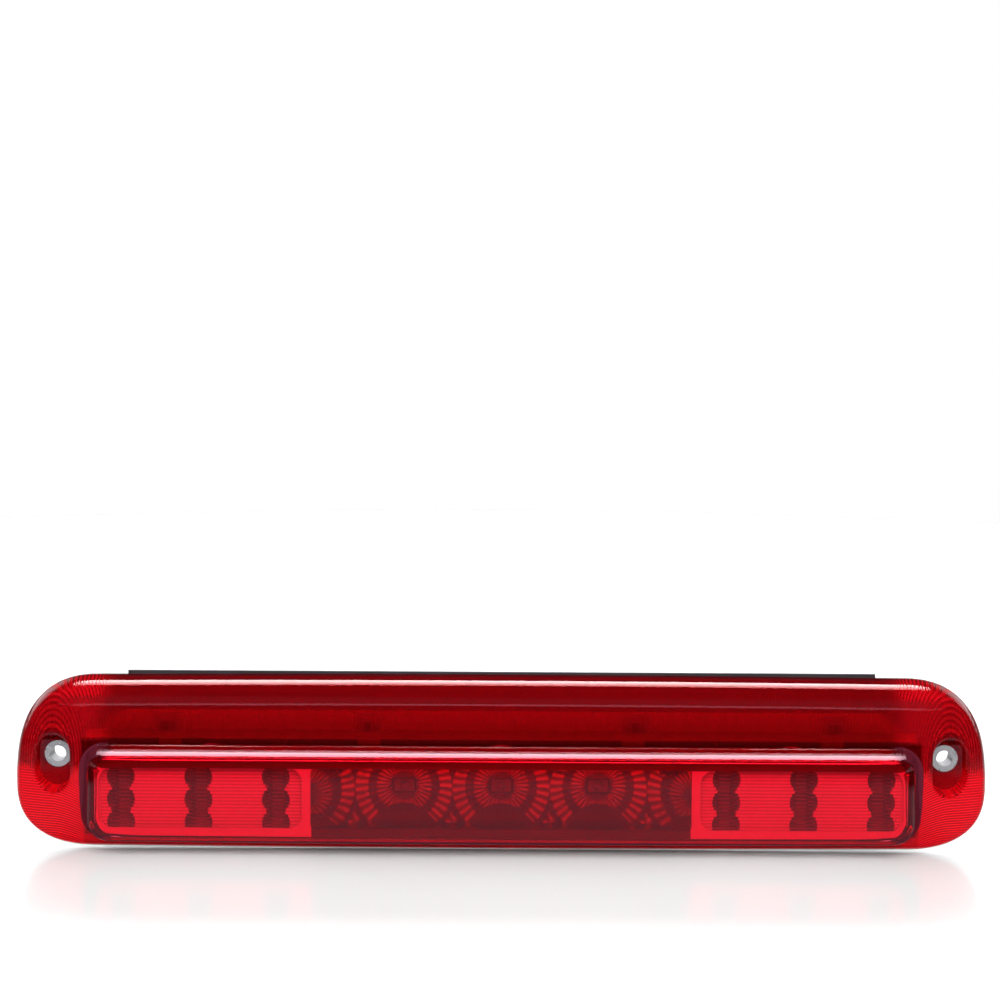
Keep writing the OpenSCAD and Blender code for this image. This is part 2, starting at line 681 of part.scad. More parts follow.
vent_cap();
vent_membrane();
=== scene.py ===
"""Looks of the third brake light: fine lens, reflector and flute meshes, materials, studio, camera.

Lengths are millimetres until MM turns them into Blender's metres. "Depth" is the distance in front
of the mounting plane, along -Y.
"""
import json
import math

import bmesh
import bpy
import numpy as np
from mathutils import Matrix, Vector


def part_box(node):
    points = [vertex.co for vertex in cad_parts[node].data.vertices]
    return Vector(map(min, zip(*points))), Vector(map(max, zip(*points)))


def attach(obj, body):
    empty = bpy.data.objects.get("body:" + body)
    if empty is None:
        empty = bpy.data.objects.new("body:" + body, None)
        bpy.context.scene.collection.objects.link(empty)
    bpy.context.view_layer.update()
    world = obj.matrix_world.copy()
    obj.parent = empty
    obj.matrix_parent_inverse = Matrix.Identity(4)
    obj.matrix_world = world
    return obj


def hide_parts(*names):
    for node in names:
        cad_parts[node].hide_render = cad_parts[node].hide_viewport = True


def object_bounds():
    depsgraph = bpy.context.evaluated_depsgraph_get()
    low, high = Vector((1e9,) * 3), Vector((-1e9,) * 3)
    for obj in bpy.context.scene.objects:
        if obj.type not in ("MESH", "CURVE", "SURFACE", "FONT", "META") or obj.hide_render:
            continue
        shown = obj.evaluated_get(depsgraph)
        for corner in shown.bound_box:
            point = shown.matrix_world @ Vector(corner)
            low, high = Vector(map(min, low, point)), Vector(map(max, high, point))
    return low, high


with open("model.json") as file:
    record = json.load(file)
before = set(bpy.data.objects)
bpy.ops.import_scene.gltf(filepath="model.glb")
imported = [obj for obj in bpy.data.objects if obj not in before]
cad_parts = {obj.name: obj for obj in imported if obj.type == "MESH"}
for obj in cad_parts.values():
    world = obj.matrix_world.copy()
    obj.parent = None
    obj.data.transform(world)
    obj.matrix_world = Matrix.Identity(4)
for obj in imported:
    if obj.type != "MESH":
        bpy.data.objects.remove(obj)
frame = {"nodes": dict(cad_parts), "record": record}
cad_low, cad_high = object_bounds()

MM = 0.001
ROOT = "root"


def edges_mm(node):
    """Lowest and highest corner of a CAD node, in millimetres."""
    low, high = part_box(node)
    return np.array(low) / MM, np.array(high) / MM


# ---- Driving dimensions, the same as the CAD's ----
HALF_LEN = 220.0
HALF_STRAIGHT = 181.0
END_R = HALF_LEN - HALF_STRAIGHT
WAIST_Z = -14.5
RIM_TOP = 35.4
RIM_BOTTOM = -43.4
CROWN = 0.8
TOP_POWER = 2.5
BOTTOM_POWER = 2.35
RIM_DEPTH = 5.0
LENS_WALL = 2.2
RIM_RISE = 8.5
RIM_SLOPE = 4.3
RIM_BLEND = 6.0
PILLOW_RISE = 17.0
PILLOW_REACH = 30.4
WINDOW_DEPTH = 32.68
WINDOW_BOW = 170.0
WINDOW_CREST_Z = -7.0
WINDOW_TOP = 7.3
WINDOW_HALF = 187.5
WINDOW_LOWER_IN = 6.2
WINDOW_CORNER = 9.0
WINDOW_LOW_CORNER = 13.0
WALL_FOOT = 22.0
END_SLOPE = 5.0
SIDE_SLOPE = 2.1
CORNER_SLOPE = 6.0
LOWER_BLEND = 4.0
UPPER_BLEND = 16.0
BLEND_FROM_Z = -8.0
BLEND_OVER = 10.0
FOOT_BLEND = 0.8
HOLE_X = 200.0
WELL_X = HOLE_X + 0.5
WELL_Z = -2.0
WELL_W = 16.0
WELL_H = 25.0
WELL_FLOOR = 10.0
SLEEVE_R = 5.05


# ---- Shape of the lens ----
def past_straight(x):
    return np.maximum(0, np.abs(x) - HALF_STRAIGHT)


def crown_at(x):
    return CROWN * np.maximum(0, 1 - (x / HALF_STRAIGHT) ** 2)


def arc_share(x, power, inset):
    share = np.minimum(1, past_straight(x) / (END_R - inset))
    return np.maximum(0, 1 - share ** power) ** (1 / power)


def upper_half(x, inset):
    return RIM_TOP - WAIST_Z + crown_at(x) - inset


def lower_half(x, inset):
    return WAIST_Z - RIM_BOTTOM + crown_at(x) - inset


def edge_top(x, inset=0.0):
    return WAIST_Z + upper_half(x, inset) * arc_share(x, TOP_POWER, inset)


def edge_bottom(x, inset=0.0):
    return WAIST_Z - lower_half(x, inset) * arc_share(x, BOTTOM_POWER, inset)


def soft_min(a, b, k):
    return np.minimum(a, b) - np.maximum(0, k - np.abs(a - b)) ** 2 / (4 * k)


def soft_max(a, b, k):
    return np.maximum(a, b) + np.maximum(0, k - np.abs(a - b)) ** 2 / (4 * k)


def from_edge(x, z, inset):
    """Distance inwards from the outline, measured towards the centre line."""
    upper = z >= WAIST_Z
    power = np.where(upper, TOP_POWER, BOTTOM_POWER)
    half = np.where(upper, upper_half(x, inset), lower_half(x, inset))
    reach = ((past_straight(x) / (END_R - inset)) ** power
             + (np.abs(z - WAIST_Z) / half) ** power) ** (1 / power)
    reach = np.maximum(0.01, reach)
    return np.maximum(0, np.hypot(past_straight(x), z - WAIST_Z) * (1 / reach - 1))


def pillow(d):
    return RIM_DEPTH + soft_min(RIM_SLOPE * d, RIM_RISE + PILLOW_RISE * (1 - np.exp(-d / PILLOW_REACH)),
                                RIM_BLEND)


def window(x, z, inset):
    """Depth of the raised window: a bowed face between walls with rounded corners."""
    side = WINDOW_HALF - inset - np.abs(x)
    level = np.where(z > WAIST_Z, WINDOW_TOP - inset - z, z - edge_bottom(x, inset) - WINDOW_LOWER_IN)
    r = np.where(z > WAIST_Z, WINDOW_CORNER, WINDOW_LOW_CORNER)
    corner = (side < r) & (level < r)
    to_side, to_level = r - side, r - level
    gap = r - np.hypot(to_side, to_level)
    turn = np.where(corner, to_level ** 2 / np.maximum(1e-6, to_side ** 2 + to_level ** 2), 0)
    rounded = (WALL_FOOT + SIDE_SLOPE * gap * (1 - turn) + END_SLOPE * gap * turn
               + np.minimum(0, CORNER_SLOPE * gap))
    straight = soft_min(WALL_FOOT + SIDE_SLOPE * side, WALL_FOOT + END_SLOPE * level, 2)
    wall = np.where(corner, rounded, straight)
    blend = LOWER_BLEND + (UPPER_BLEND - LOWER_BLEND) * np.clip((z - BLEND_FROM_Z) / BLEND_OVER, 0, 1)
    return soft_min(wall, WINDOW_DEPTH - (z - WINDOW_CREST_Z) ** 2 / WINDOW_BOW, blend)


def lens_surface(x, z, inset=0.0):
    return soft_max(pillow(from_edge(x, z, inset)), window(x, z, inset), FOOT_BLEND)


# ---- Mesh helpers ----
def to_world(points):
    """Rows of x, depth, z in millimetres as x, y, z in metres."""
    points = np.asarray(points, float)
    return np.column_stack([points[:, 0], -points[:, 1], points[:, 2]]) * MM


def new_object(name, vertices, faces):
    mesh = bpy.data.meshes.new(name)
    mesh.from_pydata([tuple(v) for v in vertices], [], [tuple(int(i) for i in f) for f in faces])
    mesh.validate()
    obj = bpy.data.objects.new(name, mesh)
    bpy.context.collection.objects.link(obj)
    tidy_normals(obj)
    return obj


def tidy_normals(obj):
    made = bmesh.new()
    made.from_mesh(obj.data)
    bmesh.ops.recalc_face_normals(made, faces=made.faces)
    made.to_mesh(obj.data)
    made.free()


def shade(obj, angle_deg):
    obj.data.shade_smooth()
    obj.data.set_sharp_from_angle(angle=math.radians(angle_deg))


def combine(obj, cutters, how):
    """Joins or cuts with other closed meshes, which are then deleted."""
    for cutter in cutters:
        change = obj.modifiers.new("combine", "BOOLEAN")
        change.operation = how
        change.solver = "MANIFOLD"
        change.object = cutter
    apply_modifiers(obj)
    for cutter in cutters:
        bpy.data.objects.remove(cutter)
    return obj


def apply_modifiers(obj):
    graph = bpy.context.evaluated_depsgraph_get()
    graph.update()
    made = bpy.data.meshes.new_from_object(obj.evaluated_get(graph))
    obj.modifiers.clear()
    obj.data = made


def grid_faces(columns, rows):
    c, r = np.meshgrid(np.arange(columns - 1), np.arange(rows - 1), indexing="ij")
    a = (c * rows + r).ravel()
    return np.column_stack([a, a + rows, a + rows + 1, a + 1])


def field_solid(name, x, z, depth, back):
    """Closed solid between a grid of depths and a flat back. x, z, depth: columns by rows."""
    columns, rows = x.shape
    front = np.column_stack([x.ravel(), depth.ravel(), z.ravel()])
    rear = front.copy()
    rear[:, 1] = back
    faces = grid_faces(columns, rows)
    count = columns * rows
    loop = np.concatenate([np.arange(columns) * rows,
                           (columns - 1) * rows + np.arange(1, rows),
                           np.arange(columns - 2, -1, -1) * rows + rows - 1,
                           np.arange(rows - 2, 0, -1)])
    following = np.roll(loop, -1)
    sides = np.column_stack([loop, following, following + count, loop + count])
    return new_object(name, to_world(np.vstack([front, rear])),
                      np.vstack([faces, faces[:, ::-1] + count, sides]))


def ring_solid(name, rings):
    """Closed solid lofted through rings that have the same number of points."""
    n = len(rings[0])
    faces = [list(range(n)), list(range(len(rings) * n - 1, (len(rings) - 1) * n - 1, -1))]
    for k in range(len(rings) - 1):
        for i in range(n):
            j = (i + 1) % n
            faces.append([k * n + i, k * n + j, (k + 1) * n + j, (k + 1) * n + i])
    return new_object(name, to_world(np.vstack(rings)), faces)


def prism(name, outline, near, far):
    """Extrudes an outline of x, z points between two depths."""
    outline = np.asarray(outline)
    return ring_solid(name, [np.column_stack([outline[:, 0], np.full(len(outline), depth), outline[:, 1]])
                             for depth in (near, far)])


def stadium(x0, z0, width, height, grow=0.0, steps=24):
    """Oblong outline with round ends, standing on end."""
    r = width / 2 + grow
    rise = (height - width) / 2
    points = []
    for centre, start in ((rise, 0), (-rise, 180)):
        for k in range(steps + 1):
            a = math.radians(start + 180 * k / steps)
            points.append((x0 + r * math.cos(a), z0 + centre + r * math.sin(a)))
    return np.array(points)


def round_rect(x0, x1, z0, z1, r, steps=8):
    points = []
    for cx, cz, start in ((x1 - r, z1 - r, 0), (x0 + r, z1 - r, 90),
                          (x0 + r, z0 + r, 180), (x1 - r, z0 + r, 270)):
        for k in range(steps + 1):
            a = math.radians(start + 90 * k / steps)
            points.append((cx + r * math.cos(a), cz + r * math.sin(a)))
    return np.array(points)


def circle(x0, z0, r, steps=48):
    turn = np.arange(steps) * 2 * math.pi / steps
    return np.column_stack([x0 + r * np.cos(turn), z0 + r * np.sin(turn)])


def runs(start, *stretches):
    """Values from the start through stretches that are each given by their end and their steps."""
    values = [[start]]
    for end, steps in stretches:
        values.append(np.linspace(start, end, steps + 1)[1:])
        start = end
    return np.concatenate(values)


# ---- Outer lens mesh ----
RIB_PITCH = 1.05
RIB_H = 0.24
EAR_PITCH = 1.2
EAR_RIB_H = 0.34
EAR_X = 185.5
BAND_Z = 9.5
EAR_Z = -5.0
EAR_STRETCH = 0.45
DROOP = 5.0
DROOP_FROM_X = 201.0
DROOP_OVER = 15.0
DROOP_POWER = 1.7
FINE_FROM_X = 174
FINE_TO_X = 191
# The wall's thickness along the depth, as a share of its thickness across the lens.
CAVITY_SHARE = 0.6
# Overlaps, so that no two faces of a cut lie in one plane.
LAP = 0.02
HAIR = 0.01


def rib(phase):
    """Rounded ridge between sharp grooves: 0 in the groove, 1 on the ridge."""
    return np.abs(np.sin(math.pi * phase))


def end_stations(count, inset, far=89.6):
    turn = np.radians(np.linspace(0, far, count))
    return HALF_STRAIGHT + (END_R - inset) * np.sin(turn)


def mirrored(half):
    return np.concatenate([-half[::-1], half[1:] if half[0] == 0 else half])


def smooth_step(t):
    t = np.clip(t, 0, 1)
    return t * t * (3 - 2 * t)


def outer_solid():
    """The lens's outside as a solid, with its grid closest where walls and edges turn."""
    half = np.concatenate([runs(0, (FINE_FROM_X, 25))[:-1], np.arange(FINE_FROM_X, FINE_TO_X, 0.45),
                           [s for s in end_stations(90, 0) if s > FINE_TO_X]])
    x = mirrored(half)[:, None]
    rise, drop = RIM_TOP - WAIST_Z, WAIST_Z - RIM_BOTTOM
    from_top = runs(0, (5, 25), (rise - 26, 11), (rise - 11, 47), (rise, 6))
    from_waist = runs(1.2, (drop - 11, 8), (drop - 4, 23), (drop, 19))
    top, bottom = edge_top(x), edge_bottom(x)
    z = np.hstack([top - (top - WAIST_Z) * from_top / rise,
                   WAIST_Z - (WAIST_Z - bottom) * from_waist / drop])
    x = np.broadcast_to(x, z.shape)
    depth = np.maximum(RIM_DEPTH + HAIR, lens_surface(x, z))
    depth[:, [0, -1]] = RIM_DEPTH + HAIR
    return field_solid("outer_lens_shell", x, z, depth, RIM_DEPTH)


def cavity(name, x, top_of, bottom_of, rows, height, ribs):
    """Cutter for a part of the lens's inside. rows run from 0 at its top to 1 at its bottom."""
    x = x[:, None]
    inset = LENS_WALL + height
    top, bottom = top_of(x, inset), bottom_of(x, inset)
    z = top + (bottom - top) * rows[None, :]
    x = np.broadcast_to(x, z.shape)
    wall = LENS_WALL + height * ribs(x, z)
    depth = np.maximum(RIM_DEPTH + HAIR, lens_surface(x, z, wall) - CAVITY_SHARE * wall)
    return field_solid(name, x, z, depth, RIM_DEPTH - 1)


def upright_ribs(x, z):
    """Upright along the lens; in the ears they run round the screw wells."""
    round_well = np.hypot(np.abs(x) - WELL_X, EAR_STRETCH * (z - WELL_Z))
    ear = smooth_step((np.abs(x) - EAR_X + 1) / 2)
    return rib(x / RIB_PITCH) * (1 - ear) + ear * rib(round_well / EAR_PITCH)


def level_ribs(x, z):
    """Level lines that bend down towards the window."""
    near = np.maximum(0, DROOP_FROM_X - np.abs(x)) / DROOP_OVER
    return rib((z + DROOP * near ** DROOP_POWER) / EAR_PITCH)


def no_ribs(x, z):
    return np.zeros_like(x)


def band_cavity(far):
    """Behind the slope above the window and the upper half of the ears, with upright ribs."""
    half = np.concatenate([np.arange(0, EAR_X - 1, RIB_PITCH / 5), np.arange(EAR_X - 1, far - 4, 0.26),
                           [s for s in end_stations(120, LENS_WALL + EAR_RIB_H) if s > far - 3.8]])
    return cavity("upper", mirrored(half), edge_top,
                  lambda x, inset: np.where(np.abs(x) < EAR_X, BAND_Z, EAR_Z),
                  runs(0, (0.14, 15), (1, 129)), RIB_H, upright_ribs)


def window_cavity():
    """Behind the window, where the lens is smooth inside."""
    end_steps = np.append(np.arange(176.5, EAR_X, 0.5), EAR_X)
    x = np.concatenate([np.arange(-EAR_X, -176, 0.5), np.linspace(-176, 176, 40), end_steps])
    return cavity("middle", x, lambda x, inset: np.full_like(x, BAND_Z + LAP), edge_bottom,
                  runs(0, (0.3, 33), (0.78, 11), (1, 33)), 0.0, no_ribs)


def ear_cavity(side, far):
    """Behind the lower half of an ear, with level ribs."""
    x = np.concatenate([np.arange(EAR_X - LAP, far - 4, 0.4),
                        [s for s in end_stations(90, LENS_WALL + EAR_RIB_H) if s > far - 3.7]])
    return cavity("end", side * x[::side], lambda x, inset: np.full_like(x, EAR_Z + LAP), edge_bottom,
                  np.linspace(0, 1, 170), EAR_RIB_H, level_ribs)


def well_plug(side):
    """Block of lens that a screw well is then cut into."""
    plug = prism("plug", stadium(side * WELL_X, WELL_Z, WELL_W, WELL_H, LENS_WALL),
                 WELL_FLOOR - LENS_WALL, WINDOW_DEPTH)
    return combine(plug, [outer_solid()], "INTERSECT")


def make_lens():
    lens = outer_solid()
    far = HALF_LEN - LENS_WALL - EAR_RIB_H - 0.05
    sides = (-1, 1)
    combine(lens, [band_cavity(far), window_cavity()], "DIFFERENCE")
    combine(lens, [ear_cavity(side, far) for side in sides], "DIFFERENCE")
    combine(lens, [well_plug(side) for side in sides], "UNION")
    combine(lens, [well_cutter(side) for side in sides], "DIFFERENCE")
    combine(lens, [prism("hole", circle(side * HOLE_X, 0, SLEEVE_R), 0, WELL_FLOOR + 2)
                   for side in sides], "DIFFERENCE")
    tidy_normals(lens)
    shade(lens, 32)
    return lens


def well_cutter(side):
    """Cavity of a screw well: a flat floor, straight walls and a rounded mouth."""
    fillet, past = 1.3, 0.4
    rings = []

    def ring(grow, depth_of):
        p = stadium(side * WELL_X, WELL_Z, WELL_W, WELL_H, grow)
        rings.append(np.column_stack([p[:, 0], depth_of(p[:, 0], p[:, 1]), p[:, 1]]))

    ring(-1.2, lambda x, z: np.full_like(x, WELL_FLOOR))
    ring(-0.35, lambda x, z: np.full_like(x, WELL_FLOOR + 0.35))
    ring(0, lambda x, z: np.full_like(x, WELL_FLOOR + 1.2))
    for k in range(7):
        t = math.radians(15 * k)
        ring(fillet * (1 - math.cos(t)),
             lambda x, z: lens_surface(x, z) - fillet * (1 - math.sin(t)))
    ring(fillet + past, lambda x, z: lens_surface(x, z) + 0.3)
    ring(fillet + past, lambda x, z: np.full_like(x, WINDOW_DEPTH + 3))
    return ring_solid("well", rings)


# ---- Reflectors and inner optics ----
DISH_FRONT = -edges_mm("brake_reflector")[0][1]
OPENING_TOP = -3.2
OPENING_BOTTOM = -30.2
DISH_Z = -15.0
BRAKE_HALF = 85.0
DISH_PITCH = 44.0
DISH_FOCUS = 21.5
DISH_VERTEX = 4.0
DISHES = (-DISH_PITCH, 0, DISH_PITCH)
PAD_RINGS = (0, 4, 8.4, 12.8, 16.5, 22, 28.5, 42)
PADS_IN_RING = (24, 24, 24, 36, 36, 48, 48)
PAD_STEPS = 4
ROUND_STEPS = 288
PAD_BULGE = 0.15
PAD_LEAN = 0.2
HILL_TOP = 7.7
HILL_CURVE = 0.035
LED_SLOT = (5.5, 3.5)


def dish_solid(x0):
    """Dish of radial pads, closed at its front. The pads lean by turns, like cut crystal.

    Under each light source the dish is a smooth hill without pads.
    """
    turn = np.arange(ROUND_STEPS) * 2 * math.pi / ROUND_STEPS
    rings = []
    for k, pads in enumerate(PADS_IN_RING):
        inner, outer = PAD_RINGS[k], PAD_RINGS[k + 1]
        count = turn * pads / (2 * math.pi) + 0.5 * (k % 2)
        sideways = 2 * (count % 1.0) - 1
        lean = np.sin(2.4 * np.floor(count) + 1.7 * k)
        last = k == len(PADS_IN_RING) - 1
        for step in range(PAD_STEPS + last):
            share = step / PAD_STEPS
            r = max(inner + (outer - inner) * share, 0.05)
            above_hill = r * np.sin(turn) + HILL_TOP + HILL_CURVE * (r * np.cos(turn)) ** 2
            held = smooth_step(above_hill + 0.5) * (k > 0) * (1 - (2 * share - 1) ** 2)
            bowl = (inner ** 2 + (outer ** 2 - inner ** 2) * share) / (4 * DISH_FOCUS)
            pad = PAD_BULGE * (1 - sideways ** 2) + PAD_LEAN * lean * sideways
            rings.append(np.column_stack([x0 + r * np.cos(turn), DISH_VERTEX + bowl + held * pad,
                                          DISH_Z + r * np.sin(turn)]))
    front = rings[-1].copy()
    front[:, 1] = DISH_FRONT + 8
    return ring_solid("dish", rings + [front])


def make_brake_reflector():
    grow = 1.2
    body = prism("brake_reflector_dishes",
                 round_rect(-BRAKE_HALF - grow, BRAKE_HALF + grow, OPENING_BOTTOM - grow,
                            OPENING_TOP + grow, 0.5, 3), DISH_VERTEX - 1.4, DISH_FRONT)
    dishes = [dish_solid(x) for x in DISHES]
    combine(dishes[0], dishes[1:], "UNION")
    limits = prism("limits", round_rect(-BRAKE_HALF, BRAKE_HALF, OPENING_BOTTOM, OPENING_TOP, 0.8, 3),
                   0, DISH_FRONT + 5)
    combine(limits, [dishes[0]], "INTERSECT")
    half_width, half_height = LED_SLOT
    slots = [prism("slot", round_rect(x - half_width, x + half_width, DISH_Z - half_height,
                                      DISH_Z + half_height, 1.6), 0, DISH_VERTEX + 3) for x in DISHES]
    combine(body, [limits] + slots, "DIFFERENCE")
    tidy_normals(body)
    shade(body, 9)
    return body


CUP_FRONT = -edges_mm("left_cargo_reflector")[0][1]
CLEAR_FLUTE_PITCH = 1.5
CLEAR_FLUTE_H = 0.42
CLEAR_FLUTE_STEPS = 8
BEZEL_CORNER = 8.4


def make_fluted_lens(side, name, node):
    """Clear pane with level half-round flutes; its outer end has the opening's round corners."""
    low, high = edges_mm(node)
    back, front = -high[1], -low[1]
    groove = front - CLEAR_FLUTE_H
    steps = int((OPENING_TOP - OPENING_BOTTOM) / CLEAR_FLUTE_PITCH) * CLEAR_FLUTE_STEPS
    turns = np.arange(steps + 1) / CLEAR_FLUTE_STEPS
    flutes = np.column_stack([groove + CLEAR_FLUTE_H * rib(turns),
                              OPENING_BOTTOM + CLEAR_FLUTE_PITCH * turns])
    profile = np.vstack([[[back, high[2]], [back, low[2]], [groove, low[2]]], flutes, [[groove, high[2]]]])
    pane = ring_solid(name, [np.column_stack([np.full(len(profile), x), profile]) for x in (low[0], high[0])])
    rounded = prism("rounded", round_rect(low[0] - 20 * (side > 0), high[0] + 20 * (side < 0), low[2] - 1,
                                          high[2] + 1, BEZEL_CORNER), back - 1, front + 1)
    combine(pane, [rounded], "INTERSECT")
    tidy_normals(pane)
    shade(pane, 40)
    return pane


# ---- Shader helpers ----
WHOLE = (0.0, 1.0)
ACRYLIC_IOR = 1.49


def material(name):
    mat = bpy.data.materials.new(name)
    mat.use_nodes = True
    return mat, mat.node_tree, mat.node_tree.nodes["Principled BSDF"]


def clear_acrylic(name):
    mat, tree, shader = material(name)
    shader.inputs["Transmission Weight"].default_value = 1.0
    shader.inputs["IOR"].default_value = ACRYLIC_IOR
    return mat, tree, shader


def feed(tree, value, socket):
    """Links another node's output to a socket, or stores a plain value there."""
    if isinstance(value, bpy.types.NodeSocket):
        tree.links.new(value, socket)
    else:
        socket.default_value = value


def axes(tree, space="Object"):
    """The x, y and z of a point of the object, in metres, or of a direction in the world."""
    place = tree.nodes.new("ShaderNodeTexCoord")
    split = tree.nodes.new("ShaderNodeSeparateXYZ")
    tree.links.new(place.outputs[space], split.inputs[0])
    return split.outputs["X"], split.outputs["Y"], split.outputs["Z"]


def noise(tree, scale, detail=3.0):
    place = tree.nodes.new("ShaderNodeTexCoord")
    made = tree.nodes.new("ShaderNodeTexNoise")
    made.inputs["Scale"].default_value = scale
    made.inputs["Detail"].default_value = detail
    tree.links.new(place.outputs["Object"], made.inputs["Vector"])
    return made.outputs["Fac"]


def ramp(tree, source, low, high, ends=(0.3, 0.7)):
    """Maps a 0 to 1 pattern onto two colours or two grey levels."""
    made = tree.nodes.new("ShaderNodeValToRGB")
    for element, value, place in zip(made.color_ramp.elements, (low, high), ends):
        element.color = (*value, 1) if isinstance(value, tuple) else (value, value, value, 1)
        element.position = place
    tree.links.new(source, made.inputs["Fac"])
    return made.outputs["Color"]


def bump(tree, source, distance, strength=0.3):
    made = tree.nodes.new("ShaderNodeBump")
    made.inputs["Strength"].default_value = strength
    made.inputs["Distance"].default_value = distance
    tree.links.new(source, made.inputs["Height"])
    return made.outputs["Normal"]


def mix(tree, factor, first, second, kind="RGBA", blend="MIX"):
    made = tree.nodes.new("ShaderNodeMix")
    made.data_type = kind
    made.blend_type = blend
    for socket, value in (("Factor", factor), ("A", first), ("B", second)):
        feed(tree, value, made.inputs[socket])
    return made.outputs["Result"]


def mix_shaders(tree, factor, first, second):
    made = tree.nodes.new("ShaderNodeMixShader")
    for socket, value in zip(made.inputs, (factor, first, second)):
        feed(tree, value, socket)
    return made.outputs[0]


def plain_shader(tree, kind, colour):
    made = tree.nodes.new(kind)
    made.inputs["Color"].default_value = (*colour, 1)
    return made.outputs[0]


def calculate(tree, operation, *values):
    made = tree.nodes.new("ShaderNodeMath")
    made.operation = operation
    for socket, value in zip(made.inputs, values):
        feed(tree, value, socket)
    return made.outputs[0]


def product(tree, first, second):
    return calculate(tree, "MULTIPLY", first, second)


def greatest(tree, first, second):
    return calculate(tree, "MAXIMUM", first, second)


def linear(tree, source, factor, plus):
    return calculate(tree, "MULTIPLY_ADD", source, factor, plus)


def squares(tree, first, second):
    return linear(tree, first, first, product(tree, second, second))


def length(tree, first, second):
    return calculate(tree, "SQRT", squares(tree, first, second))


def stretch(tree, source, span, unit=1.0):
    """0 to 1, smoothly, as the source goes from the span's first value to its second."""
    made = tree.nodes.new("ShaderNodeMapRange")
    made.interpolation_type = "SMOOTHSTEP"
    made.inputs["From Min"].default_value = span[0] * unit
    made.inputs["From Max"].default_value = span[1] * unit
    tree.links.new(source, made.inputs["Value"])
    return made.outputs["Result"]


def between(tree, source, span):
    """The same for a span in millimetres of the object's own frame."""
    return stretch(tree, source, span, MM)


def wave(tree, distance, pitch):
    """0 to 1 and back once in every pitch, in millimetres."""
    turns = product(tree, distance, 2 * math.pi / (pitch * MM))
    return linear(tree, calculate(tree, "SINE", turns), 0.5, 0.5)


def two_way(tree, colour):
    """Cloudy plastic: half of the light scatters back and half scatters through."""
    return mix_shaders(tree, 0.5, plain_shader(tree, "ShaderNodeBsdfDiffuse", colour),
                       plain_shader(tree, "ShaderNodeBsdfTranslucent", colour))


def open_to_lamps(tree, seen, tint):
    """Lamps and scattered light pass the pane straight, so they reach what stands behind it."""
    path = tree.nodes.new("ShaderNodeLightPath")
    either = greatest(tree, path.outputs["Is Shadow Ray"], path.outputs["Is Diffuse Ray"])
    clear = plain_shader(tree, "ShaderNodeBsdfTransparent", tint)
    tree.links.new(mix_shaders(tree, either, seen, clear),
                   tree.nodes["Material Output"].inputs["Surface"])


# ---- Materials ----
def solid_material(name, low, high, rough, scale, metal=0.0, grain=None, coat=0.0):
    """Plastic or metal whose colour and roughness wander a little."""
    mat, tree, shader = material(name)
    pattern = noise(tree, scale)
    tree.links.new(ramp(tree, pattern, low, high), shader.inputs["Base Color"])
    tree.links.new(ramp(tree, pattern, *rough), shader.inputs["Roughness"])
    shader.inputs["Metallic"].default_value = metal
    shader.inputs["Coat Weight"].default_value = coat
    if grain:
        fine, distance = grain
        tree.links.new(bump(tree, noise(tree, fine, 2.0), distance), shader.inputs["Normal"])
    return mat


def fluted_acrylic(name, groove, crest, through):
    """Clear plastic with level flutes; painted shade darkens its tint in the grooves."""
    mat, tree, shader = clear_acrylic(name)
    lines = wave(tree, axes(tree)[2], CLEAR_FLUTE_PITCH)
    # Painted shade in the flutes' grooves.
    tree.links.new(ramp(tree, lines, groove, crest, (0.0, 0.6)), shader.inputs["Base Color"])
    tree.links.new(ramp(tree, noise(tree, 60.0), 0.0, 0.02), shader.inputs["Roughness"])
    open_to_lamps(tree, shader.outputs[0], through)
    return mat


# Spans in millimetres over which the red lens's look changes. Those in z run up or down it.
SLOPE_Z = (7.5, 10.5)
UPPER_SLOPE_Z = (15.0, 19.0)
CREST_Z = (26.5, 28.5)
STRIP_FOOT_Z = ((6.0, 6.3), (8.3, 7.8))
LENS_FOOT_Z = (-33.5, -36.0)
LOW_EAR_Z = (-2.0, -9.0)
EAR_START_X = (186.0, 188.5)
SHOULDER_X = (169.0, 184.0)
MATT_X = (176.0, 188.0)
# Distances past the window's outline where a dark line of painted shade goes on the lens: its end walls, its
# lower wall and where both stop.
WALL_R = 11.0
END_WALL = (-4.4, -3.6)
END_WALL_X = (172.0, 182.0)
LOWER_WALL = (-1.9, -1.4)
LOWER_WALL_Z = (-26.0, -31.0)
WALL_STOP = (0.7, 0.2)
WELL_HALVES = (9.2, 13.8)
# How cloudy each part of the lens looks.
SLOPE_CLOUD = 0.055
SLOPE_BASE, SLOPE_RIBS = 0.7, 0.5
UPPER_SLOPE_CLOUD = 0.03
FOOT_CLOUD = 0.40
WINDOW_CLOUD = 0.02
EAR_CLOUD = 0.17
EAR_BASE, EAR_FLUTES = 0.3, 1.4
LOW_EAR_CLOUD = 0.56
CREST_CLOUD = 0.10
WELL_CLEARNESS = 0.7
# Share of the window's walls covered by a dark sheet of painted shade.
WALL_SHADE = 0.85
EAR_MATT = 0.03
SLOPE_WAVE = 1.2
SLOPE_WAVE_H = 0.00012


def ear_flutes(tree, along, height):
    """Shine of the ears' flutes: round the screw wells above, and level but drooping below."""
    sideways = calculate(tree, "SUBTRACT", along, WELL_X * MM)
    upwards = linear(tree, height, EAR_STRETCH, -EAR_STRETCH * WELL_Z * MM)
    near = greatest(tree, linear(tree, along, -1 / (DROOP_OVER * MM), DROOP_FROM_X / DROOP_OVER), 0.0)
    drooping = linear(tree, calculate(tree, "POWER", near, DROOP_POWER), DROOP * MM, height)
    return mix(tree, between(tree, height, (EAR_Z - 0.5, EAR_Z + 0.5)), wave(tree, drooping, EAR_PITCH),
               wave(tree, length(tree, sideways, upwards), EAR_PITCH), "FLOAT")


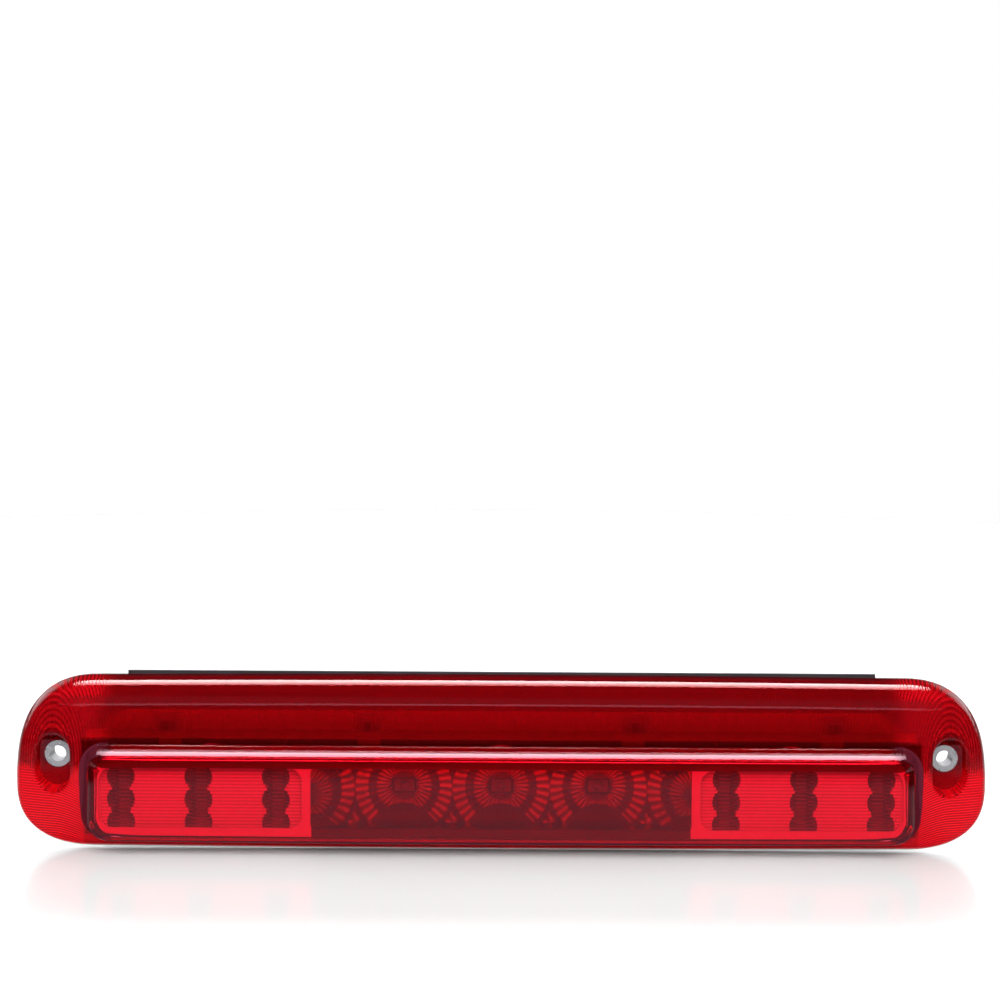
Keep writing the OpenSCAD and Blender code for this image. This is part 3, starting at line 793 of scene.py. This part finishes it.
def window_wall_shade(tree, along, height):
    """1 on the window's steep ends and along its foot, where the lens gets a dark line of painted shade."""
    bottom = RIM_BOTTOM + WINDOW_LOWER_IN
    middle, half = (WINDOW_TOP + bottom) / 2, (WINDOW_TOP - bottom) / 2
    from_middle = calculate(tree, "ABSOLUTE", calculate(tree, "SUBTRACT", height, middle * MM))
    sideways = greatest(tree, calculate(tree, "SUBTRACT", along, (WINDOW_HALF - WALL_R) * MM), 0.0)
    upwards = greatest(tree, calculate(tree, "SUBTRACT", from_middle, (half - WALL_R) * MM), 0.0)
    past = calculate(tree, "SUBTRACT", length(tree, sideways, upwards), WALL_R * MM)
    ends = product(tree, between(tree, past, END_WALL), between(tree, along, END_WALL_X))
    lower = product(tree, between(tree, past, LOWER_WALL), between(tree, height, LOWER_WALL_Z))
    return product(tree, greatest(tree, ends, lower), between(tree, past, WALL_STOP))


def screw_wells(tree, along, height):
    """1 in the screw wells, whose walls have no flutes."""
    half_width, half_height = WELL_HALVES
    sideways = linear(tree, along, 1 / (half_width * MM), -WELL_X / half_width)
    upwards = linear(tree, height, 1 / (half_height * MM), -WELL_Z / half_height)
    return stretch(tree, squares(tree, sideways, upwards), (1.1, 0.95))


def lens_shine(tree, height, upright):
    """Colour of the lens's reflections: a pink strip with a dark foot, and a ribbed red rim."""
    foot = product(tree, *(between(tree, height, span) for span in STRIP_FOOT_Z))
    strip = ramp(tree, foot, (1.0, 0.45, 0.60), (0.1, 0.0, 0.0), WHOLE)
    rim = ramp(tree, upright, (0.35, 0.0, 0.0), (0.95, 0.12, 0.13), WHOLE)
    return mix(tree, between(tree, height, CREST_Z), strip, rim)


def lens_cloud(tree, along, height, upright, walls):
    """How cloudy the lens looks: most in the ears and along its foot, least in the screw wells and under the
    painted shade on the window's walls.
    """
    above = between(tree, height, SLOPE_Z)
    ribs = product(tree, above, linear(tree, upright, SLOPE_RIBS * SLOPE_CLOUD, SLOPE_BASE * SLOPE_CLOUD))
    foot = product(tree, between(tree, height, LENS_FOOT_Z), FOOT_CLOUD)
    slope = linear(tree, between(tree, height, UPPER_SLOPE_Z), UPPER_SLOPE_CLOUD,
                   greatest(tree, ribs, foot))
    ends = greatest(tree, between(tree, along, EAR_START_X),
                    product(tree, above, between(tree, along, SHOULDER_X)))
    low_ear = linear(tree, between(tree, height, LOW_EAR_Z), LOW_EAR_CLOUD - EAR_CLOUD, EAR_CLOUD)
    level = linear(tree, between(tree, height, CREST_Z), CREST_CLOUD, low_ear)
    ears = product(tree, product(tree, ends, level),
                   linear(tree, ear_flutes(tree, along, height), EAR_FLUTES, EAR_BASE))
    share = greatest(tree, greatest(tree, slope, ears), WINDOW_CLOUD)
    wells_and_wall_shade = linear(tree, screw_wells(tree, along, height), WELL_CLEARNESS, walls)
    return product(tree, share, calculate(tree, "SUBTRACT", 1.0, calculate(tree, "MINIMUM", wells_and_wall_shade, 1.0)))


def red_acrylic(name, tint, wall_shade_tint, wall_shade_colour, through, cloud):
    """Clear red plastic that looks cloudy where fluting covers its inside: the ears and the slope. Along the
    window's end walls and foot it carries a dark line of painted shade.
    """
    mat, tree, shader = clear_acrylic(name)
    x, _, height = axes(tree)
    along = calculate(tree, "ABSOLUTE", x)
    upright = wave(tree, along, SLOPE_WAVE)
    walls = window_wall_shade(tree, along, height)
    matt = product(tree, noise(tree, 60.0), between(tree, along, MATT_X))
    ribs = product(tree, upright, between(tree, height, SLOPE_Z))
    # The tint darkens on the window's walls: painted shade.
    for source, socket in ((ramp(tree, walls, tint, wall_shade_tint, WHOLE), "Base Color"),
                           (product(tree, matt, EAR_MATT), "Roughness"),
                           (bump(tree, ribs, SLOPE_WAVE_H, 0.25), "Normal"),
                           (lens_shine(tree, height, upright), "Specular Tint")):
        tree.links.new(source, shader.inputs[socket])
    cloudy = mix_shaders(tree, lens_cloud(tree, along, height, upright, walls), shader.outputs[0],
                         two_way(tree, cloud))
    # A dark diffuse sheet over the window's walls: painted shade.
    wall_shaded = mix_shaders(tree, product(tree, walls, WALL_SHADE), cloudy,
                           plain_shader(tree, "ShaderNodeBsdfDiffuse", wall_shade_colour))
    open_to_lamps(tree, wall_shaded, through)
    return mat


# Painted reflections on the pads by distance from a dish's axis, in millimetres: bright rings and dark arcs
# put into the metal's colour.
PAD_SHINE_LEVELS = ((6.0, 0.2), (6.8, 0.5), (10.5, 0.6), (12.2, 0.5), (12.8, 0.16), (16.0, 0.2),
              (16.6, 0.75), (21.6, 0.7), (22.1, 0.18), (24.0, 0.2), (24.6, 0.75))
# Painted glints round each dish, and the edge and fading of the painted shade above each light source.
FACET_GLINTS = 36.0
HILL_EDGE = 0.6
HILL_FOOT = -15.0


def crystal_material(name):
    """Metal whose colour carries painted reflections over the pads; each dish has a dark arc of painted shade
    where its pads look away.
    """
    mat, tree, shader = material(name)
    x, _, z = axes(tree)
    pitch = DISH_PITCH * MM
    dish = calculate(tree, "ROUND", calculate(tree, "DIVIDE", x, pitch))
    sideways = linear(tree, dish, -pitch, x)
    upwards = calculate(tree, "SUBTRACT", z, DISH_Z * MM)
    reach = calculate(tree, "DIVIDE", length(tree, sideways, upwards), PAD_RINGS[-1] * MM)
    # Rings of painted reflection, bright and dark.
    rings = tree.nodes.new("ShaderNodeValToRGB")
    tree.links.new(reach, rings.inputs["Fac"])
    stops = rings.color_ramp.elements
    stops[0].color = (0.3, 0.3, 0.31, 1)
    stops[1].position = 1.0
    stops[1].color = (0.9, 0.9, 0.93, 1)
    for radius, level in PAD_SHINE_LEVELS:
        stops.new(radius / PAD_RINGS[-1]).color = (level, level, 1.03 * level, 1)
    # Painted glints that go round each dish.
    turn = product(tree, calculate(tree, "ARCTAN2", upwards, sideways), FACET_GLINTS)
    facet_glints = linear(tree, calculate(tree, "SINE", turn), 0.35, 0.65)
    pads = mix(tree, 1.0, rings.outputs["Color"], facet_glints, blend="MULTIPLY")
    arch = linear(tree, product(tree, sideways, sideways), HILL_CURVE / MM, upwards)
    # Painted shade on the hill above each light source.
    hill = ramp(tree, between(tree, upwards, (-HILL_TOP, HILL_FOOT)), 0.05, 0.16, WHOLE)
    look = mix(tree, between(tree, arch, (-HILL_TOP, -HILL_TOP - HILL_EDGE)), pads, hill)
    tree.links.new(look, shader.inputs["Base Color"])
    tree.links.new(ramp(tree, noise(tree, 90.0), 0.05, 0.12), shader.inputs["Roughness"])
    shader.inputs["Metallic"].default_value = 1.0
    return mat


# Where the painted shade in the cups grows lighter, in millimetres of height.
CUP_SHADE_FADE_Z = (-8.0, -30.0)


def cup_material(name, face, cups):
    """Satin white face; the cups behind it get painted shade, lighter towards the bottom."""
    mat, tree, shader = material(name)
    _, y, z = axes(tree)
    behind = between(tree, y, (0.1 - CUP_FRONT, 0.8 - CUP_FRONT))
    front = ramp(tree, noise(tree, 200.0), face, tuple(1.04 * v for v in face))
    # The cups' colour is painted shade, lighter towards the bottom.
    smoked = ramp(tree, between(tree, z, CUP_SHADE_FADE_Z), cups, tuple(2.6 * v for v in cups), WHOLE)
    tree.links.new(mix(tree, behind, front, smoked), shader.inputs["Base Color"])
    shader.inputs["Roughness"].default_value = 0.4
    return mat


def bezel_material(name, dim, bright):
    """Dim metallised plastic, satin bright on the ends that frame the cargo panels."""
    mat, tree, shader = material(name)
    x, _, z = axes(tree)
    along = calculate(tree, "ABSOLUTE", x)
    frames = product(tree, between(tree, along, (BRAKE_HALF - 0.6, BRAKE_HALF - 0.2)),
                     between(tree, z, (OPENING_TOP, OPENING_TOP - 0.4)))
    pattern = noise(tree, 90.0)
    look = mix(tree, frames, ramp(tree, pattern, dim, 1.1 * dim), ramp(tree, pattern, bright, 1.05 * bright))
    tree.links.new(look, shader.inputs["Base Color"])
    tree.links.new(ramp(tree, frames, 1.0, 0.0, WHOLE), shader.inputs["Metallic"])
    shader.inputs["Roughness"].default_value = 0.45
    return mat


MATERIALS = {
    # The red lens's second and third colours are painted shade on the window's walls.
    "red_lens": red_acrylic("red acrylic", (0.90, 0.004, 0.020), (0.08, 0.0, 0.004),
                            (0.075, 0.008, 0.016), (0.80, 0.77, 0.77), (0.92, 0.007, 0.018)),
    # The clear lens's first colour is painted shade in the grooves.
    "clear_lens": fluted_acrylic("clear acrylic", (0.55, 0.55, 0.55), (0.98, 0.98, 0.98),
                                 (0.97, 0.97, 0.97)),
    # The cups' colour is painted shade.
    "cup_reflector": cup_material("satin white with painted shade in the cups", (0.82, 0.82, 0.82),
                                  (0.11, 0.11, 0.12)),
    "crystal": crystal_material("metallised pads with painted shine"),
    "bezel_metal": bezel_material("dim and satin plastic", 0.15, 0.74),
    "smoked_resin": solid_material("smoked resin", (0.15, 0.13, 0.09), (0.19, 0.16, 0.11),
                                   (0.15, 0.25), 300.0, coat=0.3),
    "black_housing": solid_material("black moulding", (0.012, 0.012, 0.014), (0.022, 0.022, 0.025),
                                    (0.38, 0.55), 70.0, grain=(2600.0, 0.0002)),
    "foam": solid_material("closed-cell foam", (0.02, 0.02, 0.022), (0.045, 0.045, 0.05),
                           (0.8, 0.95), 900.0, grain=(1500.0, 0.0006)),
    "sealant": solid_material("hot-melt bead", (0.05, 0.05, 0.055), (0.08, 0.08, 0.085),
                              (0.35, 0.5), 200.0, grain=(300.0, 0.0004)),
    "zinc_steel": solid_material("zinc plate", (0.30, 0.31, 0.33), (0.38, 0.38, 0.40),
                                 (0.25, 0.35), 150.0, metal=0.6),
    "screw_steel": solid_material("blackened steel", (0.03, 0.03, 0.032), (0.05, 0.05, 0.052),
                                  (0.3, 0.45), 700.0, metal=1.0),
    "black_board": solid_material("black solder mask", (0.012, 0.013, 0.012), (0.02, 0.021, 0.02),
                                  (0.3, 0.4), 150.0, coat=0.3),
    "chip_black": solid_material("moulded chip", (0.012, 0.012, 0.013), (0.025, 0.025, 0.027),
                                 (0.4, 0.6), 500.0),
    "terminal_plastic": solid_material("natural nylon", (0.62, 0.58, 0.46), (0.7, 0.66, 0.55),
                                       (0.35, 0.5), 200.0, grain=(1500.0, 0.0001)),
    "contact_brass": solid_material("bright brass", (0.62, 0.42, 0.14), (0.74, 0.53, 0.22),
                                    (0.2, 0.35), 400.0, metal=1.0),
    "lead_insulation": solid_material("wire insulation", (0.36, 0.02, 0.015), (0.45, 0.035, 0.025),
                                      (0.4, 0.5), 300.0),
    "vent_black": solid_material("black cap", (0.015, 0.015, 0.017), (0.03, 0.03, 0.033),
                                 (0.4, 0.55), 300.0, grain=(2000.0, 0.0002)),
    "membrane": solid_material("porous film", (0.74, 0.74, 0.72), (0.82, 0.82, 0.8),
                               (0.8, 0.9), 1500.0, grain=(3000.0, 0.0002)),
}
# Pieces that don't wear the material of their slot, by the last words of their names.
OWN_LOOKS = {"brake_reflector": "crystal", "cargo_reflector": "cup_reflector",
             "leds": "smoked_resin", "bezel": "bezel_metal"}


def look_of(node, slot):
    """The material of a node: its own, or its slot's."""
    return MATERIALS[next((look for end, look in OWN_LOOKS.items() if node.endswith(end)), slot)]


def add_piece(obj, slot, *nodes):
    """Gives a fine mesh the material of its slot and its body, and lets it stand for CAD nodes."""
    obj.data.materials.clear()
    obj.data.materials.append(look_of(nodes[0], slot))
    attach(obj, ROOT)
    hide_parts(*nodes)


def dress_cad_nodes():
    for part in frame["record"]["subparts"]:
        for place in frame["nodes"][part["node"]].material_slots:
            place.link = "OBJECT"
            place.material = look_of(part["node"], part["material_slot"])


# ---- Studio and camera, in metres and watts ----
FLOOR_Z = cad_low[2] - 0.0002
FLOOR_RADIUS = 1.4
FLOOR_Y = 0.2
ORIGIN = (0, 0, 0)
# Where each light stands, where it points, its size and its power.
SEEN_IN_REFLECTIONS = {
    "overhead softbox": ((0, 0.28, 0.95), ORIGIN, (1.1, 0.95), 56),
    "front card": ((0, -0.69, 0.88), ORIGIN, (1.5, 0.78), 0.75),
    "card edge": ((0, -1.009, 0.631), ORIGIN, (1.5, 0.02), 0.2)}
ONLY_FILL = {
    "front fill": ((0, -1.3, 0.9), ORIGIN, (1.2, 1.0), 50),
    "top fill": ((0, 0.1, 1.2), ORIGIN, (1.6, 1.2), 7),
    "rear fill": ((0, 1.5, 0.8), (0, 0.3, 0), (1.8, 0.6), 60)}


def emitter(name, centre, target, size, power):
    light = bpy.data.lights.new(name, "AREA")
    light.shape = "RECTANGLE"
    light.size, light.size_y = size
    light.energy = power
    obj = bpy.data.objects.new(name, light)
    bpy.context.collection.objects.link(obj)
    obj.location = centre
    aim = Vector(target) - Vector(centre)
    obj.rotation_euler = aim.to_track_quat("-Z", "Y").to_euler()
    obj.visible_transmission = False
    return obj


# The world by direction: spans of its height, z, and of its y, then the brightness it reaches.
BELOW = (-0.02, -0.30)
STRAIGHT_DOWN = (-0.97, -0.75)
BACKDROP_FOOT = (0.0, 0.02)
BACKDROP_TOP = (0.5, 0.4)
BACKDROP_BEHIND = (0.45, 0.6)
OUTER_LEVELS = (0.03, 0.75)
INNER_LEVELS = (0.55, 0.60)
BACKDROP_LEVEL = 1.1


def make_world():
    """White backdrop; outer surfaces reflect dark above and pale below, inner ones a dim grey."""
    world = bpy.data.worlds.new("studio")
    bpy.context.scene.world = world
    world.use_nodes = True
    tree = world.node_tree
    _, y, z = axes(tree, "Generated")
    below = product(tree, stretch(tree, z, BELOW), stretch(tree, z, STRAIGHT_DOWN))
    low_band = product(tree, stretch(tree, z, BACKDROP_FOOT), stretch(tree, z, BACKDROP_TOP))
    backdrop = product(tree, stretch(tree, y, BACKDROP_BEHIND), low_band)
    path = tree.nodes.new("ShaderNodeLightPath")
    inner = mix(tree, path.outputs["Is Transmission Ray"], ramp(tree, below, *OUTER_LEVELS, WHOLE),
                ramp(tree, below, *INNER_LEVELS, WHOLE))
    background = tree.nodes["Background"]
    lit = mix(tree, backdrop, inner, (BACKDROP_LEVEL, BACKDROP_LEVEL, BACKDROP_LEVEL, 1))
    tree.links.new(lit, background.inputs["Color"])
    white = plain_shader(tree, "ShaderNodeBackground", (1.0, 1.0, 1.0))
    tree.links.new(mix_shaders(tree, path.outputs["Is Camera Ray"], background.outputs[0], white),
                   tree.nodes["World Output"].inputs["Surface"])


def make_studio():
    make_world()
    bpy.ops.mesh.primitive_circle_add(vertices=96, radius=FLOOR_RADIUS, fill_type="NGON",
                                      location=(0, FLOOR_Y, FLOOR_Z))
    floor = bpy.context.object
    floor.name = "studio_floor"
    floor.data.materials.append(solid_material("pale floor", (0.75, 0.76, 0.76),
                                               (0.77, 0.78, 0.78), (0.15, 0.17), 3.0))
    floor.visible_glossy = False
    for name, setting in SEEN_IN_REFLECTIONS.items():
        emitter(name, *setting).visible_diffuse = False
    for name, setting in ONLY_FILL.items():
        emitter(name, *setting).visible_glossy = False


CAMERA_ELEVATION = math.radians(12.0)
CAMERA_DISTANCE = 1.0
LOOK_AT = Vector((-1.8 * MM, -16 * MM, -2.2 * MM))
AIM_ABOVE = math.atan(0.119)
CAMERA_ROLL = math.radians(-0.34)
SENSOR_WIDTH = 36
FOCAL_LENGTH = 79.6


def make_camera():
    """Looks down at the lamp and aims a little above it, so it stands low in the picture."""
    camera = bpy.data.objects.new("camera", bpy.data.cameras.new("camera"))
    bpy.context.collection.objects.link(camera)
    outwards = Vector((0, -math.cos(CAMERA_ELEVATION), math.sin(CAMERA_ELEVATION)))
    camera.location = LOOK_AT + CAMERA_DISTANCE * outwards
    camera.rotation_euler = (math.pi / 2 - (CAMERA_ELEVATION - AIM_ABOVE), CAMERA_ROLL, 0)
    camera.data.sensor_width = SENSOR_WIDTH
    camera.data.lens = FOCAL_LENGTH
    bpy.context.scene.camera = camera


def main():
    make_camera()
    make_studio()
    dress_cad_nodes()
    add_piece(make_lens(), "red_lens", "outer_lens", "left_lens_end", "right_lens_end")
    add_piece(make_brake_reflector(), "metallised", "brake_reflector")
    for side, node in ((-1, "left_fluted_lens"), (1, "right_fluted_lens")):
        add_piece(make_fluted_lens(side, node + "_pane", node), "clear_lens", node)
    bpy.context.scene.view_settings.view_transform = "Standard"


main()
